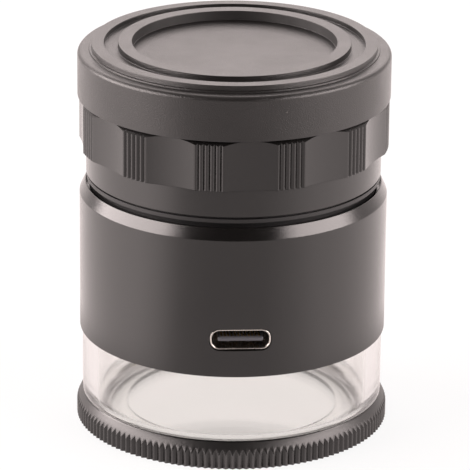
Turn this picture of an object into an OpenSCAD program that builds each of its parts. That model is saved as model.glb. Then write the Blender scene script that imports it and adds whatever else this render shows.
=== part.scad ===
// Focusing stand loupe with a lamp in its body and a clear foot
// It stands on z = 0 with its axis on Z, and its charging port faces -Y

/* [Body shell] */
// Outer diameter of the shell
body_d = 46; // [44.6:0.2:47.6]
// Wall of the shell
body_wall = 1.5; // [1.4:0.1:2]
// Height of the shell
body_h = 22.9; // [21:0.05:28]
// Height of the bevel round the shell's top edge
bevel_h = 1.7; // [0.6:0.02:4]
// How far that bevel runs inwards
bevel_in = 0.8; // [0.7:0.02:0.9]
// How far the shell's mouth is opened out round the skirt
mouth_in = 0.54; // [0.1:0.02:0.58]
// Depth of that opening
mouth_deep = 1; // [0.5:0.1:1.5]
// Thickness of the web inside the shell
web_t = 1.2; // [0.8:0.1:2]
// How far the web stands in from the wall
web_in = 4; // [3.4:0.1:5]

/* [Charging port] */
// Height of the port's centre above the shell's lower edge
port_up = 5.8; // [5:0.05:8]
// Width of the socket's metal shell
port_w = 8.94; // [8.7:0.02:9.2]
// Height of the socket's metal shell
port_h = 3.2; // [3:0.02:3.4]
// Depth of the socket
port_l = 7.3; // [6.6:0.1:7.4]
// Sheet thickness of the socket's shell
port_wall = 0.3; // [0.2:0.02:0.34]
// Gap between the socket and its slot in the body
slot_gap = 0.1; // [0.05:0.01:0.3]
// Width of the socket's tongue
tongue_w = 6.69; // [6.2:0.01:7]
// Thickness of the socket's tongue
tongue_t = 0.7; // [0.5:0.01:0.9]
// How far the tongue's tip lies behind the mouth
tongue_back = 0.1; // [0:0.05:1.4]
// Distance between two contacts on the tongue
contact_pitch = 0.5; // [0.4:0.01:0.54]

/* [Lamp button] */
// Diameter of the button's cap
button_d = 5; // [4:0.1:6]
// How far the button stands out of the shell
button_out = 0.35; // [0.1:0.05:0.45]
// How far the button can be pressed
button_travel = 0.3; // [0.15:0.05:0.4]
// Running gap round the button
button_gap = 0.08; // [0.04:0.01:0.15]
// Height of the switch behind the button
switch_h = 3.4; // [2.8:0.1:5]
// Width of that switch
switch_w = 4.7; // [4:0.1:6]
// Depth of that switch
switch_l = 2.4; // [2:0.1:2.8]

/* [Clear foot] */
// Outer diameter of the clear foot
clear_d = 45.2; // [44.6:0.1:45.8]
// Height of the clear foot that shows
clear_h = 10.28; // [8:0.02:14]
// Diameter of the viewing hole in its floor
view_d = 31.8; // [28:0.2:34]
// Thickness of the floor at the edge of that hole
view_edge = 0.65; // [0.3:0.05:1]
// Height of the curve that runs from that edge up to the wall
flare_h = 2; // [1.4:0.1:3]
// Radius of that curve
flare_r = 5; // [4:0.5:12]
// Wall of the threaded collar that carries the base ring, the thinnest wall of the foot
spigot_wall = 1.1; // [0.8:0.1:2]

/* [Base ring] */
// Diameter over the base ring's ribs
ring_d = 47; // [46.2:0.1:50]
// Wall of the base ring, from its bore to the tips of its ribs
ring_wall = 2.15; // [1.6:0.05:3]
// Height of the base ring
ring_h = 4.15; // [3.6:0.05:6]
// Height of its straight ribbed band
ribs_h = 2.24; // [1:0.02:3]
// Number of ribs
ribs_n = 144; // [60:12:180]
// Depth of the grooves between the ribs
ribs_deep = 0.26; // [0.1:0.02:0.4]
// How far the grooves run up the ring's shoulder
ribs_run = 0.8; // [0.4:0.05:0.9]
// How far the ring's top edge stands outside the clear foot
ring_lap = 0.1; // [0:0.02:0.3]
// Thickness of the lip under the reticle
lip_t = 0.6; // [0.4:0.1:1]
// How far the lip reaches in under the reticle
lip_in = 1.4; // [0.8:0.1:3]
// Thickness of the reticle glass
reticle_t = 1.2; // [0.8:0.1:1.6]

/* [Focus ring] */
// Gap between the focus ring and the shell, as set
focus_gap = 1.55; // [1.2:0.05:3]
// Gap that is left when the focus ring is screwed right in
focus_stop = 0.95; // [0.3:0.05:1.1]
// Height of the thin groove below the collar
line_h = 0.28; // [0.1:0.02:0.4]
// Depth of that groove
line_in = 0.4; // [0.1:0.05:0.6]
// Height of the plain band below the groove
band_h = 0.62; // [0.4:0.02:0.7]
// How far that band stands in from the collar
band_in = 0.1; // [0:0.02:0.3]
// Height of the undercut below the band
undercut_h = 1; // [0.5:0.05:1.5]
// Depth of that undercut
undercut_in = 0.6; // [0.1:0.05:0.8]
// How far the plain collar stands in from the shell's outside
collar_in = 0.97; // [0.4:0.01:1.1]
// Height of the plain collar
collar_h = 4.25; // [3.6:0.05:7]
// Diameter over the lands of the grip
grip_d = 46.24; // [45.8:0.02:48]
// Height of the grip
grip_h = 7.65; // [5:0.05:12]
// Number of hollows round the grip
hollow_n = 12; // [8:1:14]
// Depth of each hollow in the middle
hollow_deep = 0.59; // [0.45:0.01:0.7]
// Angle that each land takes up
land_angle = 10.4; // [6:0.2:14]
// Number of grooves on each land
land_grooves = 5; // [2:1:7]
// Depth of those grooves
groove_deep = 0.25; // [0.1:0.01:0.35]
// Chamfer round the top of the grip
grip_chamfer = 0.7; // [0.3:0.05:0.9]
// Length of the skirt that runs in the shell
skirt_l = 8.2; // [7:0.1:9]
// Wall of the skirt
skirt_wall = 1.8; // [1.5:0.1:2.4]
// Section of the drag ring on the skirt
drag_section = 1.1; // [0.8:0.1:1.2]
// Width of the rim round the eye dish
dish_rim = 2.4; // [1.4:0.1:4]
// Depth of the eye dish
dish_deep = 5.8; // [4:0.1:7]

/* [Dust cap] */
// Outer diameter of the cap
cap_d = 46.56; // [46:0.02:48]
// Height of the cap
cap_h = 8.0; // [7:0.05:11]
// Wall of the cap
cap_wall = 1.25; // [1:0.05:1.4]
// Thickness of the cap's top under its recess
cap_top_t = 1.2; // [0.8:0.1:2]
// Rounding of the cap's outer edge
cap_round = 0.7; // [0.3:0.05:1.1]
// Depth of the recess in the middle of the top
recess_deep = 1.45; // [0.8:0.05:2]
// Outer diameter of the inner ridge
ridge_in_d = 34.52; // [30:0.02:36]
// Width of the inner ridge
ridge_in_w = 2.08; // [1:0.02:3]
// Outer diameter of the outer ridge
ridge_out_d = 42.4; // [41:0.02:43]
// Width of the outer ridge
ridge_out_w = 1.86; // [1:0.02:2.4]
// How much lower the outer ridge is than the inner one
ridge_step = 0.16; // [0:0.02:0.4]
// Depth of the groove between the ridges
ridge_groove = 0.9; // [0.4:0.05:1.3]
// Width of the ledge round the foot of the outer ridge
ledge_w = 0.36; // [0.1:0.02:0.6]
// Height of that ledge above the cap's shoulder
ledge_h = 0.24; // [0.2:0.02:0.8]
// Fall of the shoulder towards the cap's edge
shoulder_fall = 0.1; // [0.1:0.02:0.6]

/* [Lenses] */
// Width of the bay round the lens sleeve, which holds the battery and the board's parts
bay_w = 7.38; // [6.8:0.02:8.8]
// Radius of the curved glass faces
lens_curve = 24; // [20:0.5:40]
// Middle thickness of each hollow lens
flint_t = 1.4; // [1:0.1:2]
// Edge thickness of each full lens
crown_edge = 0.8; // [0.4:0.1:1.5]
// Wall of the lens cell
cell_wall = 1.5; // [1.1:0.1:1.8]
// Length of the lens cell
cell_l = 28; // [26:0.5:30]
// Thickness of the cell's flange
cell_flange_t = 1.5; // [1:0.1:2]
// How far that flange stands out from the cell
cell_flange_out = 3.5; // [2:0.1:4.5]
// Thickness of the ring that clamps the flange
lock_t = 1.8; // [1.2:0.1:2.5]
// Thickness of the ring that holds the lenses
retainer_t = 1.2; // [0.8:0.1:2]
// How far the rims reach in over the lenses
lens_rim = 1.2; // [0.6:0.1:2]

/* [Inside] */
// Clearance between the lens cell and the chassis
cell_gap = 0.6; // [0.3:0.1:1]
// Wall of the chassis sleeve
sleeve_wall = 1; // [0.8:0.1:1.4]
// Thickness of the chassis flange
flange_t = 1.2; // [0.8:0.1:2]
// Diameter of the posts that carry the board
post_d = 3.2; // [2.6:0.1:4]
// Thickness of the circuit board
board_t = 1; // [0.6:0.1:1.6]
// Number of lamps under the board
led_n = 8; // [4:4:8]
// Width of each lamp
led_w = 2; // [1.4:0.1:2.6]
// Height of each lamp
led_h = 0.8; // [0.4:0.1:1.2]
// Thread diameter of the small screws
screw_d = 1.6; // [1.2:0.1:2]
// Height of their heads
head_h = 0.8; // [0.5:0.1:1]
// Thickness of the battery
battery_t = 4; // [3:0.1:5]
// Thickness of the pad behind the battery
pad_t = 0.5; // [0.3:0.1:1]
// Diameter of the battery's two wires
wire_d = 0.7; // [0.5:0.05:0.9]
// Width of the charging chip
chip_w = 3; // [2:0.1:4]
// Length of each capacitor
capacitor_l = 2; // [1.2:0.1:2.6]
// Width and height of each capacitor
capacitor_w = 1.2; // [0.6:0.1:1.6]

/* [Hidden] */
$fn = 96;

// Clearances
run_gap = 0.05;
seat_gap = 0.03;
push_gap = 0.1;
cement = 0.02;
lamp_gap = 0.5;
board_gap = 0.3;
web_gap = 0.4;
neck_gap = 0.6;
// How far a cut runs past the face that it opens
past = 1;

// Radii, from the outside in
body_r = body_d / 2;
bore_r = body_r - body_wall;
clear_r = clear_d / 2;
ring_r = ring_d / 2;
ring_top_r = clear_r + ring_lap;
ring_bore_r = ring_r - ring_wall;
spigot_r = ring_bore_r - run_gap;
view_r = view_d / 2;
clear_in_r = min(spigot_r, clear_r, bore_r - run_gap) - spigot_wall;
skirt_r = bore_r - run_gap;
skirt_in_r = skirt_r - skirt_wall;
drag_r = bore_r - cement - drag_section / 2;
drag_groove_r = bore_r - drag_section - 2 * cement;
collar_r = body_r - collar_in;
band_r = collar_r - band_in;
grip_r = grip_d / 2;
cap_r = cap_d / 2;
cap_in_r = cap_r - cap_wall;
neck_r = cap_in_r - push_gap;
sleeve_r = bore_r - bay_w;
sleeve_in_r = sleeve_r - sleeve_wall;
cell_r = sleeve_in_r - cell_gap;
lens_bore_r = cell_r - cell_wall;
lens_r = lens_bore_r - cement;
lens_rim_r = lens_r - lens_rim;
post_ring_r = (sleeve_r + bore_r) / 2;
web_screw_r = bore_r - web_in / 2;
screw_r = screw_d / 2;
head_r = 1.7 * screw_r;

// Heights, from the foot up
z_reticle0 = lip_t + seat_gap;
z_reticle1 = z_reticle0 + reticle_t;
z_spigot0 = z_reticle1 + seat_gap;
z_clear0 = ring_h + seat_gap;
z_body0 = z_clear0 + clear_h;
z_body1 = z_body0 + body_h;
z_port = z_body0 + port_up;
z_board1 = z_port - port_h / 2;
z_board0 = z_board1 - board_t;
z_clear1 = z_board0 - max(led_h, head_h) - lamp_gap;
z_focus0 = z_body1 + focus_gap;
z_band1 = z_focus0 - line_h;
z_band0 = z_band1 - band_h;
z_grip0 = z_focus0 + collar_h;
z_grip1 = z_grip0 + grip_h;
z_skirt0 = z_focus0 - skirt_l;
z_drag = z_skirt0 + 1.5 * drag_section;
z_web1 = z_skirt0 - (focus_gap - focus_stop) - web_gap;
z_web0 = z_web1 - web_t;
z_flange0 = z_web0 - flange_t;
z_cap0 = z_grip1 + seat_gap;
z_cap1 = z_cap0 + cap_h;
z_recess = z_cap1 - recess_deep;
z_cap_under = z_recess - cap_top_t;
z_neck1 = z_cap_under - neck_gap;
z_dish0 = z_neck1 - dish_deep;
z_seat = z_grip0 - cell_flange_t;
z_cell0 = z_dish0 - cell_l;

// Floor of the clear foot: an arc from the edge of the viewing hole up to the wall
flare_steps = 6;
flare_low = [view_r, z_spigot0 + view_edge];
flare_span = [clear_in_r, z_spigot0 + view_edge + flare_h] - flare_low;
flare_slope = atan2(flare_span[1], flare_span[0]);
flare_half = asin(norm(flare_span) / 2 / flare_r);
flare_mid = flare_low + flare_r * [-sin(flare_slope - flare_half), cos(flare_slope - flare_half)];
function flare(t) = flare_mid + flare_r * [sin(flare_slope + t * flare_half), -cos(flare_slope + t * flare_half)];

// Shoulder of the base ring: a cone past the grooves' ends, then a curve in to the clear foot
shoulder_steps = 3;
shoulder_foot = [ring_r - 1.2 * ribs_deep, ribs_h + 1.2 * ribs_run];
shoulder_bend = shoulder_foot + (ring_h - shoulder_foot[1]) / 2 * [-ribs_deep / ribs_run, 1];
function shoulder(t) = (1 - t) * (1 - t) * shoulder_foot + 2 * t * (1 - t) * shoulder_bend
    + t * t * [ring_top_r, ring_h];

// Lens stack: two cemented pairs with their full lenses face to face
function sag(r) = lens_curve - sqrt(lens_curve * lens_curve - r * r);
flint_edge = flint_t + sag(lens_r - lens_rim / 4);
crown_t = crown_edge + 2 * sag(lens_r);
z_field_flint = z_cell0 + lens_rim + cement;
z_field_crown = z_field_flint + flint_t + cement;
z_eye_flint = z_dish0 - retainer_t - cement;
z_eye_crown = z_eye_flint - flint_t - cement;
z_spacer0 = z_field_crown + crown_t - sag(lens_rim_r) + cement;
z_spacer1 = z_eye_crown - crown_t + sag(lens_rim_r) - cement;

// Slots in the lens rings for a spanner
spanner_w = 1;
spanner_deep = 0.6;

// Charging port
port_front = sqrt(body_r * body_r - port_w * port_w / 4);
port_in_w = port_w - 2 * port_wall;
port_in_h = port_h - 2 * port_wall;
port_block_l = 0.3 * port_l;
contact_n = 12;
contact_t = 0.05;

// Button: its flange lies inside the shell, and the switch behind it
button_r = button_d / 2;
button_flange_r = button_r + 0.8;
button_flange_t = 0.7;
button_edge = 0.2;
y_flange1 = sqrt(bore_r * bore_r - button_flange_r * button_flange_r) - push_gap;
y_flange0 = y_flange1 - button_flange_t;
y_switch1 = y_flange0 - button_travel - push_gap;
z_button = z_board1 + switch_h / 2;
plunger_r = 0.8;
plunger_in = 0.9;
// Notch in the board's edge that clears the button's flange
notch_w = 2 * (button_flange_r + push_gap);

// Battery: lies against the chassis sleeve on the -X side
battery_gap = head_h + 0.3;
battery_x0 = sleeve_r + pad_t;
battery_x1 = battery_x0 + battery_t;
battery_half = sqrt(pow(bore_r - board_gap, 2) - battery_x1 * battery_x1) - 0.6;
z_battery0 = z_board1 + battery_gap;
z_battery1 = z_flange0 - battery_gap;
wire_bend = wire_d;
wire_lead = 0.4;

// Angles of what is set round the axis
land_turn = 18.1;
post_angles = [0, 135, 225];
web_screw_angles = [60, 180, 300];
chip_angle = 45;
capacitor_angles = [295, 307, 333, 345];

// Shapes that repeat
module lathe(points) rotate_extrude() polygon(points);

module tube(r_out, r_in, z0, z1)
    lathe([[r_in, z0], [r_out, z0], [r_out, z1], [r_in, z1]]);

module round_at(r, angles) for (a = angles) rotate(a) translate([r, 0, 0]) children();

module stadium(w, h) {
    square([w - h, h], center = true);
    for (side = [-1, 1]) translate([side * (w - h) / 2, 0]) circle(d = h);
}

module slot_from_front(w, h, y_front, l)
    translate([0, l - y_front, z_port]) rotate([90, 0, 0]) linear_extrude(l) stadium(w, h);

module along_y(y0, z) translate([0, y0, z]) rotate([-90, 0, 0]) children();

module rod_y(r, y0, y1, z) along_y(y0, z) cylinder(r = r, h = y1 - y0);

// A screw that points up from the underside of its head, at z = 0, with a cross in the head
module small_screw(shank) difference() {
    union() {
        translate([0, 0, -head_h]) cylinder(r = head_r, h = head_h);
        cylinder(r = screw_r, h = shank);
    }
    for (turn = [0, 90]) rotate(turn)
        translate([0, 0, -head_h]) cube([1.3 * head_r, 0.25 * head_r, head_h], center = true);
}

// A lens with one flat and one hollow face, the flat one at z = 0 and facing down
module hollow_lens() difference() {
    cylinder(r = lens_r, h = flint_edge);
    translate([0, 0, flint_t + lens_curve]) sphere(r = lens_curve);
}

// A lens with two full faces, standing on z = 0
module full_lens() intersection() {
    cylinder(r = lens_r, h = crown_t);
    translate([0, 0, lens_curve]) sphere(r = lens_curve);
    translate([0, 0, crown_t - lens_curve]) sphere(r = lens_curve);
}

// Body
module body_shell() color("#2e2c2c") difference() {
    lathe([[bore_r, z_body0], [body_r, z_body0], [body_r, z_body1 - bevel_h],
        [body_r - bevel_in, z_body1], [bore_r + mouth_in, z_body1],
        [bore_r + mouth_in, z_body1 - mouth_deep], [bore_r, z_body1 - mouth_deep], [bore_r, z_web1],
        [bore_r - web_in, z_web1], [bore_r - web_in, z_web0], [bore_r, z_web0]]);
    slot_from_front(port_w + 2 * slot_gap, port_h + 2 * slot_gap, body_r + past, 2 * (body_wall + past));
    rod_y(button_r + button_gap, y_flange0, body_r + past, z_button);
    round_at(web_screw_r, web_screw_angles)
        translate([0, 0, z_web0 - past]) cylinder(r = screw_r + cement, h = web_t + 2 * past);
}

module clear_base() color("#e8efee", 0.4)
    lathe(concat([[view_r, z_spigot0], [spigot_r, z_spigot0], [spigot_r, z_clear0], [clear_r, z_clear0],
        [clear_r, z_body0], [bore_r - run_gap, z_body0], [bore_r - run_gap, z_clear1], [clear_in_r, z_clear1]],
        [for (i = [flare_steps : -1 : 0]) flare(2 * i / flare_steps - 1)]));

// Frame and electrics inside the body
module chassis() color("#3a3a3c") difference() {
    union() {
        lathe([[sleeve_in_r, z_board1], [sleeve_r, z_board1], [sleeve_r, z_flange0],
            [bore_r - run_gap, z_flange0], [bore_r - run_gap, z_web0], [sleeve_in_r, z_web0]]);
        round_at(post_ring_r, post_angles)
            translate([0, 0, z_board1]) cylinder(d = post_d, h = z_web0 - z_board1);
    }
    round_at(post_ring_r, post_angles)
        translate([0, 0, z_board1 - past]) cylinder(r = screw_r + cement, h = past + 3 * screw_d);
    round_at(web_screw_r, web_screw_angles)
        translate([0, 0, z_flange0 - past]) cylinder(r = screw_r + cement, h = flange_t + 2 * past);
}

module chassis_screws() color("#b8babc")
    round_at(web_screw_r, web_screw_angles)
        translate([0, 0, z_flange0]) small_screw(flange_t + web_t);

module main_board() color("#e4e2dc") difference() {
    tube(bore_r - board_gap, sleeve_in_r, z_board0, z_board1);
    round_at(post_ring_r, post_angles)
        translate([0, 0, z_board0 - past]) cylinder(r = screw_r + cement, h = board_t + 2 * past);
    translate([-notch_w / 2, y_switch1, z_board0 - past]) cube([notch_w, bore_r, board_t + 2 * past]);
}

module board_screws() color("#b8babc")
    round_at(post_ring_r, post_angles)
        translate([0, 0, z_board0]) small_screw(board_t + 2.5 * screw_d);

module leds() color("#f4ecc8")
    round_at(post_ring_r, [for (i = [0 : led_n - 1]) (i + 0.5) * 360 / led_n])
        translate([0, 0, z_board0 - led_h / 2]) cube([led_w, led_w, led_h], center = true);

module charge_chip() color("#222224")
    round_at(post_ring_r, [chip_angle])
        translate([-chip_w / 2, -chip_w / 2, z_board1]) cube([chip_w, chip_w, 0.3 * chip_w]);

module capacitors() color("#a88a60")
    round_at(post_ring_r, capacitor_angles)
        translate([-capacitor_l / 2, -capacitor_w / 2, z_board1]) cube([capacitor_l, capacitor_w, capacitor_w]);

module usb_socket() color("#d8d8d6") difference() {
    slot_from_front(port_w, port_h, port_front, port_l);
    slot_from_front(port_in_w, port_in_h, port_front + past, port_l + 2 * past);
}

module usb_tongue() color("#262628") {
    slot_from_front(port_in_w - 2 * cement, port_in_h - 2 * cement,
        port_front - port_l + port_block_l, port_block_l);
    translate([-tongue_w / 2, tongue_back - port_front, z_port - tongue_t / 2])
        cube([tongue_w, port_l - tongue_back - port_block_l / 2, tongue_t]);
}

module usb_contacts() color("#c9a24a")
    for (i = [0 : contact_n - 1], side = [-1, 1])
        translate([(i - (contact_n - 1) / 2) * contact_pitch, 0, z_port])
            mirror([0, 0, side < 0 ? 1 : 0])
                translate([-contact_pitch / 4, tongue_back + 0.4 - port_front, tongue_t / 2])
                    cube([contact_pitch / 2, port_l - tongue_back - port_block_l - 0.5, contact_t]);

module side_switch() color("#8f9296") difference() {
    translate([-switch_w / 2, y_switch1 - switch_l, z_board1]) cube([switch_w, switch_l, switch_h]);
    rod_y(plunger_r + button_gap, y_switch1 - plunger_in - 2 * button_travel, y_switch1 + past, z_button);
}

module switch_plunger() color("#ece8e0") rod_y(plunger_r, y_switch1 - plunger_in, y_flange0, z_button);

module power_button() color("#2e2c2c") {
    button_l = body_r + button_out - y_flange0;
    along_y(y_flange0, z_button)
        lathe([[0, 0], [button_flange_r, 0], [button_flange_r, button_flange_t],
            [button_r, button_flange_t], [button_r, button_l - button_edge],
            [button_r - button_edge, button_l], [0, button_l]]);
}

module battery() color("#c4c8cc")
    translate([-battery_x1, -battery_half, z_battery0])
        cube([battery_t, 2 * battery_half, z_battery1 - z_battery0]);

module battery_pad() color("#4a4a4a") difference() {
    translate([-battery_x0, -battery_half / 2, z_battery0])
        cube([pad_t + 2 * sleeve_wall, battery_half, z_battery1 - z_battery0]);
    translate([0, 0, z_battery0 - past])
        cylinder(r = sleeve_r + cement, h = z_battery1 - z_battery0 + 2 * past);
}

// Each wire leaves the battery's end, bends down and stands on the board
module battery_leads() for (side = [-1, 1]) color(side < 0 ? "#b02020" : "#181818")
    translate([side * wire_d - (battery_x0 + battery_x1) / 2, battery_half, (z_battery0 + z_battery1) / 2]) {
        rotate([-90, 0, 0]) cylinder(d = wire_d, h = wire_lead);
        translate([0, wire_lead, -wire_bend]) rotate([0, -90, 0])
            rotate_extrude(angle = 90) translate([wire_bend, 0]) circle(d = wire_d);
        translate([0, wire_lead + wire_bend, z_board1 - (z_battery0 + z_battery1) / 2])
            cylinder(d = wire_d, h = (z_battery0 + z_battery1) / 2 - wire_bend - z_board1);
    }

// Focusing part with its lenses
module drag_ring() color("#1c1c1c")
    rotate_extrude() translate([drag_r, z_drag]) circle(d = drag_section);

module grip_outline() {
    gap_angle = 360 / hollow_n - land_angle;
    half_chord = grip_r * sin(gap_angle / 2);
    hollow_sag = hollow_deep - grip_r * (1 - cos(gap_angle / 2));
    cutter_r = (half_chord * half_chord + hollow_sag * hollow_sag) / (2 * hollow_sag);
    groove_angle = land_angle / land_grooves;
    groove_w = 0.5 * grip_r * groove_angle * PI / 180;
    difference() {
        circle(r = grip_r);
        for (i = [0 : hollow_n - 1]) rotate(land_turn + i * 360 / hollow_n) {
            rotate(180 / hollow_n) translate([grip_r - hollow_deep + cutter_r, 0])
                circle(r = cutter_r, $fn = 360);
            for (j = [0 : land_grooves - 1])
                rotate((j - (land_grooves - 1) / 2) * groove_angle) translate([grip_r, 0])
                    polygon([[groove_deep, -groove_w], [-groove_deep, 0], [groove_deep, groove_w]]);
        }
    }
}

module focus_ring() color("#2e2c2c") {
    lathe([[skirt_in_r, z_skirt0], [skirt_r, z_skirt0],
        [skirt_r, z_drag - 0.6 * drag_section], [drag_groove_r, z_drag - 0.6 * drag_section],
        [drag_groove_r, z_drag + 0.6 * drag_section], [skirt_r, z_drag + 0.6 * drag_section],
        [skirt_r, z_band0 - undercut_h], [skirt_r - undercut_in, z_band0 - undercut_h],
        [skirt_r - undercut_in, z_band0], [band_r, z_band0], [band_r, z_band1], [band_r - line_in, z_band1],
        [band_r - line_in, z_focus0], [collar_r, z_focus0], [collar_r, z_grip0], [neck_r, z_grip0],
        [neck_r, z_neck1], [neck_r - dish_rim, z_neck1], [cell_r + run_gap, z_dish0],
        [cell_r + run_gap, z_seat], [skirt_in_r, z_seat]]);
    intersection() {
        translate([0, 0, z_grip0]) linear_extrude(grip_h) grip_outline();
        lathe([[neck_r - past, z_grip0], [grip_r + past, z_grip0],
            [grip_r + past, z_grip1 - grip_chamfer - past], [grip_r - grip_chamfer, z_grip1],
            [neck_r - past, z_grip1]]);
    }
}

module lens_cell() color("#242424")
    lathe([[lens_rim_r, z_cell0], [cell_r, z_cell0], [cell_r, z_seat - cell_flange_t],
        [cell_r + cell_flange_out, z_seat - cell_flange_t], [cell_r + cell_flange_out, z_seat - cement],
        [cell_r, z_seat - cement], [cell_r, z_dish0], [lens_bore_r, z_dish0],
        [lens_bore_r, z_cell0 + lens_rim], [lens_rim_r, z_cell0 + lens_rim]]);

module field_lens_hollow() color("#cfe4e8", 0.4) translate([0, 0, z_field_flint]) hollow_lens();

module field_lens_full() color("#d8ecea", 0.4) translate([0, 0, z_field_crown]) full_lens();

module lens_spacer() color("#1a1a1a") tube(lens_r, lens_rim_r, z_spacer0, z_spacer1);

module eye_lens_full() color("#d8ecea", 0.4) translate([0, 0, z_eye_crown - crown_t]) full_lens();

module eye_lens_hollow() color("#cfe4e8", 0.4)
    translate([0, 0, z_eye_flint]) mirror([0, 0, 1]) hollow_lens();

module spanner_slots(r, z) for (turn = [0, 90])
    rotate(turn) translate([0, 0, z]) cube([2 * (r + past), spanner_w, 2 * spanner_deep], center = true);

module lens_retainer() color("#1a1a1a") difference() {
    tube(lens_r, lens_rim_r, z_dish0 - retainer_t, z_dish0);
    spanner_slots(lens_r, z_dish0);
}

module cell_lock_ring() color("#1a1a1a") difference() {
    tube(skirt_in_r - run_gap, cell_r + run_gap,
        z_seat - cell_flange_t - cement - lock_t, z_seat - cell_flange_t - cement);
    spanner_slots(skirt_in_r, z_seat - cell_flange_t - lock_t);
}

// Cap over the eye end
module dust_cap() color("#3c3838") {
    z_ledge = z_cap1 - ridge_groove;
    z_shoulder = z_ledge - ledge_h;
    z_round = z_shoulder - shoulder_fall - cap_round;
    lathe(concat(
        [[0, z_cap_under], [cap_in_r, z_cap_under], [cap_in_r, z_cap0], [cap_r, z_cap0]],
        [for (a = [0 : 15 : 90]) [cap_r - cap_round * (1 - cos(a)), z_round + cap_round * sin(a)]],
        [[ridge_out_d / 2 + ledge_w, z_shoulder], [ridge_out_d / 2 + ledge_w, z_ledge],
            [ridge_out_d / 2, z_ledge], [ridge_out_d / 2, z_cap1 - ridge_step],
            [ridge_out_d / 2 - ridge_out_w, z_cap1 - ridge_step],
            [ridge_out_d / 2 - ridge_out_w, z_ledge], [ridge_in_d / 2, z_ledge],
            [ridge_in_d / 2, z_cap1], [ridge_in_d / 2 - ridge_in_w, z_cap1],
            [ridge_in_d / 2 - ridge_in_w, z_recess], [0, z_recess]]));
}

// Foot
module reticle_glass() color("#dcecec", 0.4)
    translate([0, 0, z_reticle0]) cylinder(r = ring_bore_r - push_gap, h = reticle_t);

module ribbed_outline() {
    pitch = 360 / ribs_n;
    crest = 0.3 * pitch;
    polygon([for (i = [0 : ribs_n - 1], corner = [[-crest / 2, 0], [crest / 2, 0], [pitch / 2, ribs_deep]])
        (ring_r - corner[1]) * [cos(i * pitch + corner[0]), sin(i * pitch + corner[0])]]);
}

module base_ring() color("#2e2c2c") intersection() {
    linear_extrude(ring_h) ribbed_outline();
    lathe(concat([[ring_bore_r - lip_in, 0], [ring_r, 0], [ring_r, ribs_h]],
        [for (i = [0 : shoulder_steps]) shoulder(i / shoulder_steps)],
        [[ring_bore_r, ring_h], [ring_bore_r, lip_t], [ring_bore_r - lip_in, lip_t]]));
}

body_shell();
clear_base();
chassis();
chassis_screws();
main_board();
board_screws();
leds();
charge_chip();
capacitors();
usb_socket();
usb_tongue();
usb_contacts();
side_switch();
switch_plunger();
power_button();
battery();
battery_pad();
battery_leads();
drag_ring();
focus_ring();
lens_cell();
field_lens_hollow();
field_lens_full();
lens_spacer();
eye_lens_full();
eye_lens_hollow();
lens_retainer();
cell_lock_ring();
dust_cap();
reticle_glass();
base_ring();
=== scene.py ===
import bpy
import bmesh
import math
from mathutils import Matrix, Vector


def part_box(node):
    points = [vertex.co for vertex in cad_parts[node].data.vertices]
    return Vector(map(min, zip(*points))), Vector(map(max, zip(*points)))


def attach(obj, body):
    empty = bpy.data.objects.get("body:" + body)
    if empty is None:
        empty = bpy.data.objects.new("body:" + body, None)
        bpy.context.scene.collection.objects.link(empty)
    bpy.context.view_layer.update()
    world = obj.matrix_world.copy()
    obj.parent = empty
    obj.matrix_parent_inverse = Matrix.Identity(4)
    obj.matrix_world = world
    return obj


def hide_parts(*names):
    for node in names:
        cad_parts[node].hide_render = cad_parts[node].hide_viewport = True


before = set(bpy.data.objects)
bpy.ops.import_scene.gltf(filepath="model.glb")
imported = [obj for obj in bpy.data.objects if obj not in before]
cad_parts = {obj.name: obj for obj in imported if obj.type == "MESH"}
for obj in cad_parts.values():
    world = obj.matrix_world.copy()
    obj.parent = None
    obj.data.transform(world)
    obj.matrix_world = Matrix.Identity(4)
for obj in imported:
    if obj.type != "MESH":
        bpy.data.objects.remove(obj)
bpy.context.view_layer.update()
mm = 0.001  # the settings of the pieces are in mm
tau = math.tau
near = 0.01  # mm, how far off a face or a point still counts as in its place


# a shader socket that takes part in Python expressions
class Signal:
    def __init__(self, finish, socket):
        self.finish = finish
        self.socket = socket

    def maths(self, operation, left, right):
        return self.finish.add("ShaderNodeMath", {"operation": operation}, {0: left, 1: right})

    def __add__(self, other):
        return self.maths("ADD", self, other)

    def __radd__(self, other):
        return self.maths("ADD", other, self)

    def __sub__(self, other):
        return self.maths("SUBTRACT", self, other)

    def __rsub__(self, other):
        return self.maths("SUBTRACT", other, self)

    def __mul__(self, other):
        return self.maths("MULTIPLY", self, other)

    def __rmul__(self, other):
        return self.maths("MULTIPLY", other, self)

    def __gt__(self, other):
        return self.maths("GREATER_THAN", self, other)

    def __lt__(self, other):
        return self.maths("LESS_THAN", self, other)

    def orMore(self, other):
        return self.maths("MAXIMUM", self, other)


noiseSpan = (0.3, 0.7)  # a noise texture seldom leaves this range


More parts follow.
